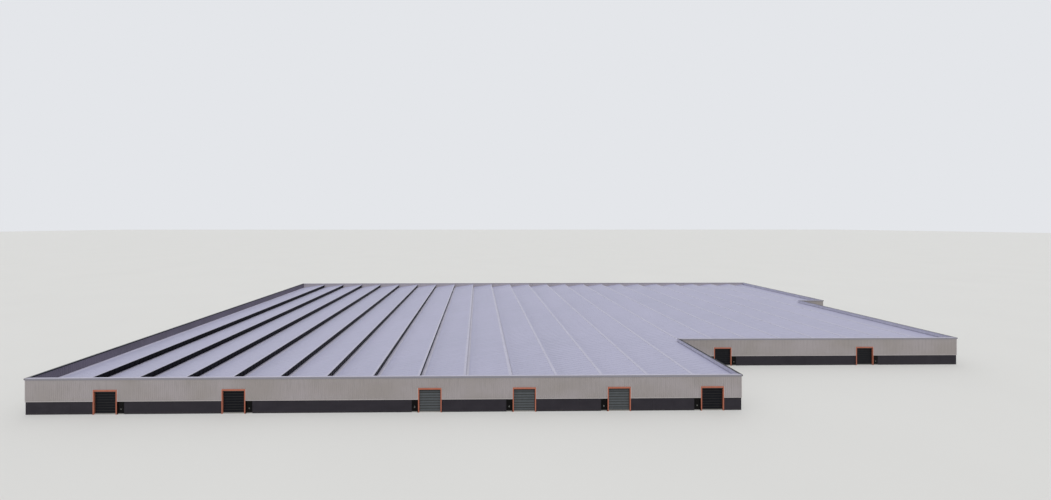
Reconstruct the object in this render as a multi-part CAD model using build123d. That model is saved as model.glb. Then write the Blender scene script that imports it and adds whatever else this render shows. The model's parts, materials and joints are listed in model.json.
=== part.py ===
from build123d import *
import os

# A very large single-storey warehouse under a saw-tooth roof with north lights, at 1:10.
# Sizes are in millimetres of the model: 100 mm here is one metre of the real building.
# X runs along the front, Y to the rear and Z up. The origin is on the ground, under the
# middle ridge line of the roof, halfway between front and rear. Wall depths are counted
# inwards from the outer edge of the coping, which is the outline of the plan.

# Plan, with its width counted in roof teeth
bay = 800.0
block_bays = 15
wing_bays = 23
extension_bays = 24
plan_depth = 10000.0
wing_setback = 2000.0
extension_setback = 6150.0

# Where the side walls stand, against the grid of ridge lines
left_wall_outset = 140.0
block_wall_inset = 70.0
wing_wall_inset = 140.0
extension_wall_inset = 150.0

# Heights above the ground
parapet_top = 609.0
ridge_height = 550.0
valley_height = 435.0
base_height = 214.0
chord_top = 400.0

# Walls and floor
coping_overhang = 4.0
cladding_thickness = 30.0
base_recess = 5.0
slab_thickness = 15.0

# Coping, a folded metal cap with an outer and an inner leg
coping_metal = 4.0
coping_outer_leg = 28.0
coping_inner_leg = 12.0

# Drip trim outside the dark coping of the side walls
edge_trim_width = 10.0
edge_trim_height = 24.0
edge_trim_drop = 1.0

# Roof teeth
roof_thickness = 8.0
gutter_width = 76.0
gutter_depth = 12.0
gutter_metal = 2.0
sill_width = 4.0
sill_upstand = 2.0
glass_inset = 24.0
glass_thickness = 3.0
cap_width = 45.0
cap_metal = 1.5
cap_drip = 10.0

# Roof structure
beam_width = 24.0
beam_metal = 3.0
truss_thickness = 16.0
chord_depth = 15.0
rafter_depth = 14.0
web_width = 12.0
column_size = 40.0
post_size = 30.0
column_step = 2

# Vehicle doorways, clear of their orange frames, and the sectional overhead doors in them
doorway_width = 360.0
doorway_height = 370.0
frame_post_width = 30.0
frame_lintel_depth = 40.0
frame_projection = 8.0
panel_count = 8
panel_depth = 22.0
panel_thickness = 4.0
panel_groove = 1.5

# Personnel doors, hung in a steel frame of the height of the base wall
jamb_width = 5.0
leaf_opening = 87.0
leaf_gap = 0.5
leaf_thickness = 5.0
knuckle_radius = 1.3
knuckle_sides = 6
knuckle_length = 8.0
knuckle_gap = 0.3
knuckle_stand = 1.5
hinge_plate_width = 5.0
hinge_plate_metal = 1.0
hinge_heights = [40.0, 112.0, 184.0]
knob_height = 85.0
knob_radius = 3.5
knob_sides = 6
knob_reach = 5.5
knob_plate_size = 16.0
knob_plate_metal = 1.0

seat_gap = 0.3

# Each doorway: the side it is in, its centre in bays from the left, the side on which its
# personnel door stands, and whether its overhead door is light
doorways = [
    ("front", 1.48, 1, False),
    ("front", 4.14, 1, False),
    ("front", 8.25, -1, True),
    ("front", 10.25, -1, True),
    ("front", 12.27, -1, True),
    ("front", 14.27, -1, False),
    ("setback", 16.13, 1, False),
    ("setback", 20.17, 1, False),
]

# Derived plan lines
front_y = -plan_depth / 2
rear_y = plan_depth / 2
wing_y = front_y + wing_setback
extension_y = front_y + extension_setback

# Derived wall depths and heights
cladding_face = coping_overhang
base_face = cladding_face + base_recess
inner_face = cladding_face + cladding_thickness
coping_width = inner_face + coping_metal
wall_top = parapet_top - coping_metal
gutter_bottom = valley_height - gutter_depth
gutter_inset = glass_inset + sill_width
chord_bottom = chord_top - chord_depth
half_doorway = doorway_width / 2
half_frame = half_doorway + frame_post_width
frame_top = doorway_height + frame_lintel_depth
small_frame_width = leaf_opening + 2 * jamb_width
leaf_head = base_height - jamb_width


def line_x(count):
    """X of the plan line that many bays from the left."""
    return (count - extension_bays / 2) * bay


# X of the outline at the left wall, and at the right-hand wall of each part of the plan
left_x = line_x(0) - left_wall_outset
right_x = {
    block_bays: line_x(block_bays) - block_wall_inset,
    wing_bays: line_x(wing_bays) - wing_wall_inset,
    extension_bays: line_x(extension_bays) - extension_wall_inset,
}


# Sides along X reach the outer faces at both ends: start, end, line and how the start is
# inset. Sides along Y stand between them: line, way inwards, start and end.
x_sides = {
    "front": (left_x, right_x[block_bays], front_y, 1),
    "setback": (right_x[block_bays], right_x[wing_bays], wing_y, -1),
    "extension_front": (right_x[wing_bays], right_x[extension_bays], extension_y, -1),
    "rear": (left_x, right_x[extension_bays], rear_y, 1),
}
y_sides = {
    "left": [(left_x, 1, front_y, rear_y, -1)],
    "right": [
        (right_x[block_bays], -1, front_y, wing_y, 1),
        (right_x[wing_bays], -1, wing_y, extension_y, 1),
        (right_x[extension_bays], -1, extension_y, rear_y, -1),
    ],
}


def block(x0, x1, y0, y1, z0, z1):
    """Box between the given limits, in either order."""
    corner = Pos(min(x0, x1), min(y0, y1), min(z0, z1))
    return corner * Box(abs(x1 - x0), abs(y1 - y0), abs(z1 - z0), align=(Align.MIN,) * 3)


def prism_y(points, y0, y1):
    """Outline of (x, z) points, run along Y."""
    face = make_face(Polyline([(x, y0, z) for x, z in points], close=True))
    return extrude(face, amount=y1 - y0, dir=(0, 1, 0))


def prism_x(points, x0, x1):
    """Outline of (y, z) points, run along X."""
    face = make_face(Polyline([(x0, y, z) for y, z in points], close=True))
    return extrude(face, amount=x1 - x0, dir=(1, 0, 0))


def write(node, solids):
    """One file for each named piece or family of like pieces."""
    solids = list(solids)
    shape = solids[0] if len(solids) == 1 else Compound(children=solids)
    shape.label = node
    export_step(shape, f"parts/{node}.step")


def inwards(side):
    """Which way along Y is inwards on a side along X."""
    return -1 if side == "rear" else 1


def x_side_ends(side, outer):
    start, end, line, inset = x_sides[side]
    return start + inset * outer, end - outer


def x_side_wall(side, outer, inner, z0, z1, gaps=()):
    """Wall of a side along X, left open in each gap."""
    start, end = x_side_ends(side, outer)
    line = x_sides[side][2]
    way = inwards(side)
    edges = [start]
    for low, high in sorted(gaps):
        edges += [low, high]
    edges.append(end)
    return [block(edges[n], edges[n + 1], line + way * outer, line + way * inner, z0, z1)
            for n in range(0, len(edges), 2)]


def y_side_spans(side, inner):
    """Line, way inwards and the two ends of each wall of a side along Y."""
    return [(line, way, start + inner, end + last * inner)
            for line, way, start, end, last in y_sides[side]]


def y_side_walls(side, outer, inner, z0, z1):
    return [block(line + way * outer, line + way * inner, start, end, z0, z1)
            for line, way, start, end in y_side_spans(side, inner)]


def doorways_in(side):
    return [door for door in doorways if door[0] == side]


def frame_gap(door):
    """Span of the vehicle frame along X."""
    centre = line_x(door[1])
    return centre - half_frame, centre + half_frame


def small_gap(door):
    """Span of the personnel door's frame, from the vehicle frame outwards."""
    centre = line_x(door[1])
    near = centre + door[2] * half_frame
    return near, near + door[2] * small_frame_width


def base_gap(door):
    """Span that the base wall leaves open for both frames."""
    low, high = frame_gap(door)
    far = small_gap(door)[1]
    return min(low, far), max(high, far)


def make_floor():
    """Slab inside the walls, in three rectangles that meet edge to edge."""
    left = left_x + inner_face
    rows = [
        ("front", front_y + inner_face, wing_y + inner_face, block_bays),
        ("middle", wing_y + inner_face, extension_y + inner_face, wing_bays),
        ("rear", extension_y + inner_face, rear_y - inner_face, extension_bays),
    ]
    for name, start, end, bays in rows:
        right = right_x[bays] - inner_face
        write(f"floor_slab_{name}", [block(left, right, start, end, 0, slab_thickness)])


def make_base_walls():
    """Dark base walls, open at every doorway."""
    for side in x_sides:
        gaps = [base_gap(door) for door in doorways_in(side)]
        write(f"{side}_base_wall", x_side_wall(side, base_face, inner_face, 0, base_height, gaps))
    for side in y_sides:
        write(f"{side}_base_wall", y_side_walls(side, base_face, inner_face, 0, base_height))


def make_cladding():
    """Insulated wall panels. Where there are vehicle doors, a lower row stands between them."""
    for side in x_sides:
        gaps = [frame_gap(door) for door in doorways_in(side)]
        low = frame_top if gaps else base_height
        write(f"{side}_wall", x_side_wall(side, cladding_face, inner_face, low, wall_top))
        if gaps:
            panels = x_side_wall(side, cladding_face, inner_face, base_height, frame_top, gaps)
            write(f"{side}_wall_panels", panels)
    for side in y_sides:
        write(f"{side}_wall", y_side_walls(side, cladding_face, inner_face, base_height, wall_top))


def coping_outline():
    """Folded cap as (depth inwards, height) points."""
    return [
        (0, parapet_top),
        (coping_width, parapet_top),
        (coping_width, wall_top - coping_inner_leg),
        (inner_face, wall_top - coping_inner_leg),
        (inner_face, wall_top),
        (coping_overhang, wall_top),
        (coping_overhang, wall_top - coping_outer_leg),
        (0, wall_top - coping_outer_leg),
    ]


def mitred(first, last):
    """Straight run between the outlines at its two mitred ends."""
    ends = [Wire(Polyline(points, close=True)) for points in (first, last)]
    return Solid.make_loft(ends, ruled=True)


def make_copings():
    """Metal copings on every parapet, mitred at the corners."""
    for side, (start, end, line, inset) in x_sides.items():
        way = inwards(side)
        first = [(start + inset * depth, line + way * depth, z) for depth, z in coping_outline()]
        last = [(end - depth, line + way * depth, z) for depth, z in coping_outline()]
        write(f"{side}_coping", [mitred(first, last)])
    for side, runs in y_sides.items():
        copings = []
        for line, way, start, end, corner in runs:
            first = [(line + way * depth, start + depth, z) for depth, z in coping_outline()]
            last = [(line + way * depth, end + corner * depth, z) for depth, z in coping_outline()]
            copings.append(mitred(first, last))
        write(f"{side}_coping", copings)


def make_edge_trims():
    """Drip trim on the outer leg of each side wall's coping."""
    top = parapet_top - edge_trim_drop
    trims = []
    for side in y_sides:
        for line, way, start, end in y_side_spans(side, 0):
            trims.append(block(line, line - way * edge_trim_width, start, end, top - edge_trim_height, top))
    write("edge_trims", trims)


def tooth_range(tooth):
    """Y range of the roof over one tooth."""
    if tooth < block_bays:
        start = front_y
    elif tooth < wing_bays:
        start = wing_y
    else:
        start = extension_y
    return start + inner_face, rear_y - inner_face


def light_range(ridge):
    """Y range in which a ridge line stands free, with glass under it."""
    if ridge < block_bays:
        return tooth_range(0)
    return tooth_range(ridge)


def gutter_left(valley):
    """Left edge of a valley's gutter; the first one lies against the left wall."""
    if valley == 0:
        return left_x + inner_face
    return line_x(valley) - gutter_inset


def slope_span(tooth):
    """X range of a tooth's roof slope, from its gutter to its ridge."""
    return gutter_left(tooth) + gutter_width, line_x(tooth + 1)


def slope_top(tooth, x):
    """Height of a tooth's top surface at x."""
    foot, ridge = slope_span(tooth)
    return valley_height + (x - foot) / (ridge - foot) * (ridge_height - valley_height)


def slope_under(tooth, x):
    return slope_top(tooth, x) - roof_thickness


def make_slope(tooth):
    """One roof slope, cut back where it meets a right-hand wall."""
    foot, ridge = slope_span(tooth)
    start, end = tooth_range(tooth)
    outline = [
        (foot, valley_height),
        (ridge, ridge_height),
        (ridge, ridge_height - roof_thickness),
        (foot, valley_height - roof_thickness),
    ]
    slope = prism_y(outline, start, end)
    for line, way, wall_start, wall_end in y_side_spans("right", inner_face):
        if foot < line < ridge:
            slope -= block(line - inner_face, ridge, wall_start, wall_end, 0, parapet_top)
    return slope


def make_ridge_cap(tooth):
    """Folded metal over the ridge's edge, with a drip leg in front of the glass."""
    ridge = line_x(tooth + 1)
    back = ridge - cap_width
    outline = [
        (back, slope_top(tooth, back)),
        (ridge, ridge_height),
        (ridge, ridge_height - cap_drip),
        (ridge + cap_metal, ridge_height - cap_drip),
        (ridge + cap_metal, ridge_height + cap_metal),
        (back, slope_top(tooth, back) + cap_metal),
    ]
    return prism_y(outline, *light_range(tooth + 1))


def make_gutter(valley):
    """Trough in a valley. Its left edge is the sill under the glass, its right one meets the slope."""
    left = gutter_left(valley)
    right = left + gutter_width
    floor = gutter_bottom + gutter_metal
    outline = [
        (left, gutter_bottom),
        (right, gutter_bottom),
        (right, valley_height),
        (right - gutter_metal, valley_height),
        (right - gutter_metal, floor),
        (left + sill_width, floor),
        (left + sill_width, valley_height + sill_upstand),
        (left, valley_height + sill_upstand),
    ]
    return prism_y(outline, *tooth_range(valley))


def make_glass(tooth):
    """Upright strip of glazing between the sill and the underside of the slope."""
    outer = line_x(tooth + 1) - glass_inset
    inner = outer - glass_thickness
    top = slope_under(tooth, inner) - seat_gap
    start, end = light_range(tooth + 1)
    return block(inner, outer, start, end, valley_height + sill_upstand, top)


def valley_middle(valley):
    return gutter_left(valley) + gutter_width / 2


def make_valley_beam(valley):
    """Rolled I section under a gutter."""
    middle = valley_middle(valley)
    half = beam_width / 2
    web = beam_metal / 2
    low = chord_top
    top = gutter_bottom
    outline = [
        (middle - half, low),
        (middle + half, low),
        (middle + half, low + beam_metal),
        (middle + web, low + beam_metal),
        (middle + web, top - beam_metal),
        (middle + half, top - beam_metal),
        (middle + half, top),
        (middle - half, top),
        (middle - half, top - beam_metal),
        (middle - web, top - beam_metal),
        (middle - web, low + beam_metal),
        (middle - half, low + beam_metal),
    ]
    return prism_y(outline, *tooth_range(valley))


def make_roof():
    teeth = range(extension_bays)
    free_ridges = range(extension_bays - 1)
    write("roof_slopes", [make_slope(tooth) for tooth in teeth])
    write("ridge_caps", [make_ridge_cap(tooth) for tooth in free_ridges])
    write("valley_gutters", [make_gutter(valley) for valley in teeth])
    write("north_light_glazing", [make_glass(tooth) for tooth in free_ridges])
    write("valley_beams", [make_valley_beam(valley) for valley in teeth])


def truss_lines():
    """Y of each truss and the number of bays that it spans."""
    behind_wall = inner_face + seat_gap + column_size / 2
    return [
        (wing_y + behind_wall, wing_bays),
        ((wing_y + extension_y) / 2, wing_bays),
        (extension_y + behind_wall, extension_bays),
        ((extension_y + rear_y) / 2, extension_bays),
    ]


def truss_heel(tooth):
    """X where a tooth of the truss starts, beside its gutter."""
    return gutter_left(tooth) + gutter_width + seat_gap


def truss_toe(tooth, bays):
    """X where a tooth of the truss ends, at the next gutter or at the wall."""
    if tooth == bays - 1:
        return right_x[bays] - inner_face - seat_gap
    return gutter_left(tooth + 1) - seat_gap


def loop(points, y):
    return Wire(Polyline([(x, y, z) for x, z in points], close=True))


def web_openings(tooth, bays):
    """Gaps of one tooth of the truss: one before its middle post and two beside a diagonal."""
    heel = truss_heel(tooth) + web_width
    toe = truss_toe(tooth, bays) - web_width
    post = (heel + toe) / 2
    right = post + web_width

    def under_rafter(x):
        return slope_under(tooth, x) - seat_gap - rafter_depth

    return [
        [(heel, chord_top), (post, chord_top), (post, under_rafter(post)), (heel, under_rafter(heel))],
        [(right, chord_top), (toe, chord_top), (toe, under_rafter(toe) - web_width)],
        [(right, chord_top + web_width), (toe, under_rafter(toe)), (right, under_rafter(right))],
    ]


def make_truss(line, bays):
    """Saw-tooth lattice truss: bottom chord, rafters under the slopes, posts and diagonals."""
    back = line - truss_thickness / 2
    left = left_x + inner_face + seat_gap
    right = truss_toe(bays - 1, bays)
    outline = [(right, chord_bottom), (left, chord_bottom), (left, chord_top)]
    openings = []
    for tooth in range(bays):
        heel = truss_heel(tooth)
        toe = truss_toe(tooth, bays)
        outline += [
            (heel, chord_top),
            (heel, slope_under(tooth, heel) - seat_gap),
            (toe, slope_under(tooth, toe) - seat_gap),
            (toe, chord_top),
        ]
        openings += web_openings(tooth, bays)
    outline.pop()
    face = Face(loop(outline, back), [loop(points, back) for points in openings])
    return extrude(face, amount=truss_thickness, dir=(0, 1, 0))


def column_valleys(bays):
    return range(1, bays, column_step)


def make_columns():
    """Square concrete columns under the trusses, on every second valley."""
    half = column_size / 2
    columns = []
    for line, bays in truss_lines():
        for valley in column_valleys(bays):
            x = valley_middle(valley)
            columns.append(block(x - half, x + half, line - half, line + half, slab_thickness, chord_bottom))
    write("columns", columns)


def make_wall_posts():
    """Posts against the walls, under the ends of the valley beams and of the trusses."""
    half = post_size / 2
    posts = []
    for bays, wall, way in [(block_bays, front_y, 1), (extension_bays, rear_y, -1)]:
        near = wall + way * inner_face
        for valley in column_valleys(bays):
            x = valley_middle(valley)
            posts.append(block(x - half, x + half, near, near + way * post_size, slab_thickness, chord_top))
    for line, bays in truss_lines():
        for wall, way in [(left_x, 1), (right_x[bays], -1)]:
            near = wall + way * inner_face
            posts.append(block(near, near + way * post_size, line - half, line + half,
                               slab_thickness, chord_bottom))
    write("wall_posts", posts)


def make_structure():
    write("roof_trusses", [make_truss(line, bays) for line, bays in truss_lines()])
    make_columns()
    make_wall_posts()


def side_y(door, depth):
    """Y at a depth inwards from the outline on a doorway's side."""
    return x_sides[door[0]][2] + depth


def make_vehicle_frames():
    """Orange posts and lintels, standing proud of the cladding."""
    posts = []
    lintels = []
    outer = cladding_face - frame_projection
    for door in doorways:
        low, high = frame_gap(door)
        near = side_y(door, outer)
        far = side_y(door, inner_face)
        posts.append(block(low, low + frame_post_width, near, far, 0, doorway_height))
        posts.append(block(high - frame_post_width, high, near, far, 0, doorway_height))
        lintels.append(block(low, high, near, far, doorway_height, frame_top))
    write("doorway_posts", posts)
    write("doorway_lintels", lintels)


def make_overhead_door(door):
    """Closed sectional door: a stack of panels with a groove at each joint."""
    bottom = slab_thickness + seat_gap
    top = doorway_height - seat_gap
    pitch = (top - bottom) / panel_count
    near = side_y(door, panel_depth)
    far = near + panel_thickness
    outline = [(near, bottom)]
    for joint in range(1, panel_count):
        height = bottom + joint * pitch
        outline += [
            (near, height - panel_groove),
            (near + panel_groove, height),
            (near, height + panel_groove),
        ]
    outline += [(near, top), (far, top), (far, bottom)]
    centre = line_x(door[1])
    half = half_doorway - seat_gap
    return prism_x(outline, centre - half, centre + half)


def make_overhead_doors():
    write("overhead_doors_light", [make_overhead_door(door) for door in doorways if door[3]])
    write("overhead_doors_dark", [make_overhead_door(door) for door in doorways if not door[3]])


def make_sills():
    """Concrete sills that carry the floor level out through each doorway."""
    sills = []
    for door in doorways:
        low, high = frame_gap(door)
        near = side_y(door, base_face)
        far = side_y(door, inner_face)
        sills.append(block(low + frame_post_width, high - frame_post_width, near, far, 0, slab_thickness))
        sills.append(block(*small_gap(door), near, far, 0, slab_thickness))
    write("doorway_sills", sills)


def hinge_pivot(door):
    """X and Y of a personnel door's hinge pins, on the side away from the vehicle door."""
    far = small_gap(door)[1]
    x = far - door[2] * (jamb_width + leaf_gap / 2)
    return x, side_y(door, base_face - knuckle_stand)


def hinge_half(door, bottom, plate_way):
    """Half of a lift-off hinge: a barrel with its plate, which lies on the leaf or on the jamb."""
    x, y = hinge_pivot(door)
    face = side_y(door, base_face)
    barrel = Pos(x, y) * RegularPolygon(knuckle_radius, knuckle_sides)
    plate_centre = Pos(x + plate_way * hinge_plate_width / 2, face - hinge_plate_metal / 2)
    plate = plate_centre * Rectangle(hinge_plate_width, hinge_plate_metal)
    return Pos(0, 0, bottom) * extrude(barrel + plate, amount=knuckle_length)


def leaf_hinges(door):
    """The upper half of each hinge, on the leaf."""
    return [hinge_half(door, height + knuckle_gap / 2, -door[2]) for height in hinge_heights]


def jamb_hinges(door):
    """The lower half of each hinge, on the jamb, which the leaf's half sits on."""
    drop = knuckle_length + knuckle_gap / 2
    return [hinge_half(door, height - drop, door[2]) for height in hinge_heights]


def make_small_frames():
    """Steel jambs and heads of the personnel doors."""
    jambs = []
    heads = []
    for door in doorways:
        start, end = small_gap(door)
        near = side_y(door, base_face)
        far = side_y(door, inner_face)
        way = door[2]
        jambs.append(block(start, start + way * jamb_width, near, far, slab_thickness, base_height))
        hung = block(end, end - way * jamb_width, near, far, slab_thickness, base_height)
        for half in jamb_hinges(door):
            hung += half
        jambs.append(hung)
        heads.append(block(start + way * jamb_width, end - way * jamb_width, near, far,
                           leaf_head, base_height))
    write("personnel_door_jambs", jambs)
    write("personnel_door_heads", heads)


def make_knob(x, face, way):
    """Knob and its square plate on one face of a leaf."""
    half = knob_plate_size / 2
    plate = block(x - half, x + half, face, face + way * knob_plate_metal,
                  knob_height - half, knob_height + half)
    knob = extrude(RegularPolygon(knob_radius, knob_sides), amount=knob_reach)
    return plate + Pos(x, face, knob_height) * Rotation(-way * 90, 0, 0) * knob


def make_leaf(door):
    """Personnel door leaf with its halves of the hinges and a knob on each face."""
    way = door[2]
    start, end = small_gap(door)
    near = side_y(door, base_face)
    far = near + leaf_thickness
    low = start + way * (jamb_width + leaf_gap)
    high = end - way * (jamb_width + leaf_gap)
    leaf = block(low, high, near, far, slab_thickness + 2 * leaf_gap, leaf_head - leaf_gap)
    for half in leaf_hinges(door):
        leaf += half
    middle = (low + high) / 2
    leaf += make_knob(middle, near, -1)
    leaf += make_knob(middle, far, 1)
    return leaf


def make_leaves():
    for number, door in enumerate(doorways, 1):
        write(f"personnel_door_{number}", [make_leaf(door)])


os.makedirs("parts", exist_ok=True)
make_floor()
make_base_walls()
make_cladding()
make_copings()
make_edge_trims()
make_roof()
make_structure()
make_vehicle_frames()
make_overhead_doors()
make_sills()
make_small_frames()
make_leaves()
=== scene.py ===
import bmesh
import bpy
import json
import math
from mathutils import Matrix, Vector


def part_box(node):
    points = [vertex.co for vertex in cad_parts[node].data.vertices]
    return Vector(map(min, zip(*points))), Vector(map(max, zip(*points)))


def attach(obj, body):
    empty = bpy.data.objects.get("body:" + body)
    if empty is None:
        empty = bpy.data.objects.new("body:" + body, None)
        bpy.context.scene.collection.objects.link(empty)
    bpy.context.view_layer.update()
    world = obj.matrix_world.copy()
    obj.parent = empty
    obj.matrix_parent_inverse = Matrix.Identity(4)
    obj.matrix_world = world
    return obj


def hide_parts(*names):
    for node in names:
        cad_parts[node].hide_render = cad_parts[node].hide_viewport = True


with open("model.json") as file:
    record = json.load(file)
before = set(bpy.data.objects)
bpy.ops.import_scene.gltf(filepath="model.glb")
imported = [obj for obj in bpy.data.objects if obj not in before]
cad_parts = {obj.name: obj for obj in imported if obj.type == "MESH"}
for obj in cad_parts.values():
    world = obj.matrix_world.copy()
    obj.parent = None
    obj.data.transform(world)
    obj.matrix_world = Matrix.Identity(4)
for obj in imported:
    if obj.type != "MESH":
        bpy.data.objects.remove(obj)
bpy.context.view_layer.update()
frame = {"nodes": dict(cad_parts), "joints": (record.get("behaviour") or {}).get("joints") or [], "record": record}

# A very large warehouse under a saw-tooth roof, at 1:10, dressed round its solid frame.
mm = 0.001  # Blender works in metres, and 100 mm here are one metre of the real building
print("frame loaded:", len(frame["nodes"]), "nodes")


# Selecting and shaping

def deselectAll():
    bpy.ops.object.select_all(action="DESELECT")


def makeActive(piece):
    deselectAll()
    piece.select_set(True)
    bpy.context.view_layer.objects.active = piece


def startEdit(piece):
    makeActive(piece)
    bpy.ops.object.mode_set(mode="EDIT")


def endEdit():
    bpy.ops.object.mode_set(mode="OBJECT")


def pickFaces(piece, test):  # in edit mode, by centre and normal
    bpy.ops.mesh.select_mode(type="FACE")
    bpy.ops.mesh.select_all(action="DESELECT")
    shape = bmesh.from_edit_mesh(piece.data)
    for face in shape.faces:
        if test(face.calc_center_median(), face.normal):
            face.select_set(True)
    bmesh.update_edit_mesh(piece.data)


def pickEdges(piece, test):  # in edit mode, by middle
    bpy.ops.mesh.select_mode(type="EDGE")
    bpy.ops.mesh.select_all(action="DESELECT")
    shape = bmesh.from_edit_mesh(piece.data)
    for edge in shape.edges:
        if test((edge.verts[0].co + edge.verts[1].co) / 2):
            edge.select_set(True)
    bmesh.update_edit_mesh(piece.data)


def extrudeBy(x, y, z):
    bpy.ops.mesh.extrude_region_move(TRANSFORM_OT_translate={"value": (x, y, z)})


def cutAt(place, direction, clear=False):  # cuts all of a mesh in edit mode, and may clear beyond
    bpy.ops.mesh.select_all(action="SELECT")
    bpy.ops.mesh.bisect(plane_co=place, plane_no=direction, clear_outer=clear)


def closeShape(piece):  # turns every face of a closed shape outwards
    startEdit(piece)
    bpy.ops.mesh.select_all(action="SELECT")
    bpy.ops.mesh.normals_make_consistent(inside=False)
    endEdit()


def applyPlace():
    bpy.ops.object.transform_apply(location=True, rotation=True, scale=True)


def addBlock(name, low, high):  # a cube stretched between two corners
    deselectAll()
    bpy.ops.mesh.primitive_cube_add(size=1, location=(Vector(low) + Vector(high)) / 2)
    block = bpy.context.object
    block.name = name
    block.scale = Vector(high) - Vector(low)
    applyPlace()
    return block


def addUpright(name, middle, width, height):  # a plane that stands upright and faces the front
    deselectAll()
    bpy.ops.mesh.primitive_plane_add(size=1, location=middle, rotation=(math.pi / 2, 0, 0))
    plane = bpy.context.object
    plane.name = name
    plane.scale = (width, height, 1)
    applyPlace()
    return plane


def useModifier(piece, kind, settings):
    makeActive(piece)
    modifier = piece.modifiers.new(kind.lower(), kind)
    for key, value in settings.items():
        setattr(modifier, key, value)
    bpy.ops.object.modifier_apply(modifier=modifier.name)


def repeatPiece(piece, count, step, merge=False):
    useModifier(piece, "ARRAY", {
        "count": count,
        "use_relative_offset": False,
        "use_constant_offset": True,
        "constant_offset_displace": step,
        "use_merge_vertices": merge,
        "merge_threshold": 0.01 * mm,
    })


def bevelPiece(piece, width):
    useModifier(piece, "BEVEL", {"width": width, "segments": 1, "limit_method": "ANGLE"})


def joinPieces(name, pieces):
    deselectAll()
    for piece in pieces:
        piece.select_set(True)
    bpy.context.view_layer.objects.active = pieces[0]
    if len(pieces) > 1:
        bpy.ops.object.join()
    pieces[0].name = name
    return pieces[0]


def placePiece(piece, corner, turn):  # turns it about Z and moves it, in its mesh
    makeActive(piece)
    piece.rotation_euler = (0, 0, math.radians(turn))
    piece.location = corner
    applyPlace()


def finishPiece(piece, slot, finish=None, body="building", standsFor=()):
    if not piece.data.materials:  # walls, doors and flashings get theirs as they are made
        piece.data.materials.append(finishes[finish or slot])
    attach(piece, body)
    if standsFor:
        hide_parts(*standsFor)


def solidsOf(node):  # corner points of each separate solid in a node of the frame, left to right
    shape = bmesh.new()
    shape.from_mesh(frame["nodes"][node].data)
    bmesh.ops.remove_doubles(shape, verts=shape.verts, dist=0.01 * mm)
    left = set(shape.verts)
    solids = []
    while left:
        waiting = [left.pop()]
        found = []
        while waiting:
            vert = waiting.pop()
            found.append(vert.co.copy())
            for edge in vert.link_edges:
                other = edge.other_vert(vert)
                if other in left:
                    left.remove(other)
                    waiting.append(other)
        solids.append(found)
    shape.free()
    return sorted(solids, key=lambda points: (boxOf(points)[0].x, boxOf(points)[0].y))


def boxOf(points):
    low = Vector([min(point[axis] for point in points) for axis in range(3)])
    high = Vector([max(point[axis] for point in points) for axis in range(3)])
    return low, high


# Finishes

def linearColour(code):  # sRGB hex to linear
    values = [int(code[place:place + 2], 16) / 255 for place in (0, 2, 4)]
    return [v / 12.92 if v <= 0.04045 else ((v + 0.055) / 1.055) ** 2.4 for v in values] + [1]


def addNode(tree, kind, settings=None, links=None):
    node = tree.nodes.new(kind)
    for key, value in (settings or {}).items():
        if isinstance(key, int) or key in node.inputs:
            node.inputs[key].default_value = value
        else:
            setattr(node, key, value)
    for key, source in (links or {}).items():
        tree.links.new(source, node.inputs[key])
    return node


def startFinish(name, surface):
    material = bpy.data.materials.new(name)
    material.use_nodes = True
    shader = material.node_tree.nodes["Principled BSDF"]
    for key, value in surface.items():
        shader.inputs[key].default_value = value
    place = addNode(material.node_tree, "ShaderNodeTexCoord").outputs["Object"]
    return material, material.node_tree, shader, place


def patches(tree, place, size, detail=3):  # soft patches, with their size along X, Y and Z
    scale = [1 / length for length in size]
    spread = addNode(tree, "ShaderNodeMapping", {"Scale": scale}, {"Vector": place}).outputs[0]
    noise = addNode(tree, "ShaderNodeTexNoise", {"Scale": 1.0, "Detail": detail}, {"Vector": spread})
    return noise.outputs["Fac"]


def fade(tree, value, start, end):  # 0 at the start and 1 at the end
    mapped = addNode(tree, "ShaderNodeMapRange", {"From Min": start, "From Max": end}, {"Value": value})
    return mapped.outputs["Result"]


def share(tree, value, part):  # that part of a pattern
    return addNode(tree, "ShaderNodeMath", {"operation": "MULTIPLY", 1: part}, {0: value}).outputs[0]


def blend(tree, amount, first, second):  # colours are hex codes or patterns made before
    settings = {"data_type": "RGBA"}
    links = {0: amount}
    for key, colour in ((6, first), (7, second)):
        if isinstance(colour, str):
            settings[key] = linearColour(colour)
        else:
            links[key] = colour
    return addNode(tree, "ShaderNodeMix", settings, links).outputs[2]


def linesEvery(tree, value, pitch, width, soft=0.3 * mm):  # 1 on lines at each multiple of the pitch
    distance = addNode(tree, "ShaderNodeMath", {"operation": "PINGPONG", 1: pitch / 2}, {0: value})
    return fade(tree, distance.outputs[0], width / 2 + soft, width / 2)


def bump(tree, shader, height, distance, strength=0.5):
    settings = {"Distance": distance, "Strength": strength}
    raised = addNode(tree, "ShaderNodeBump", settings, {"Height": height})
    tree.links.new(raised.outputs[0], shader.inputs["Normal"])


def coatedSheet(name, sheet):
    # polyester-coated steel, roll-formed: a satin skin with an orange peel, dulled by rain and dust
    material, tree, shader, place = startFinish(name, {"Roughness": sheet["roughness"]})
    broad = fade(tree, patches(tree, place, (700 * mm, 700 * mm, 500 * mm)), 0.35, 0.65)
    colour = blend(tree, broad, sheet["colour"], sheet["worn"])
    rain = fade(tree, patches(tree, place, sheet["streaks"], 4), 0.5, 0.72)
    colour = blend(tree, share(tree, rain, 0.45), colour, sheet["dirt"])
    tree.links.new(colour, shader.inputs["Base Color"])
    bump(tree, shader, patches(tree, place, (6 * mm, 6 * mm, 6 * mm)), 0.2 * mm, 0.15)
    return material


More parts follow.
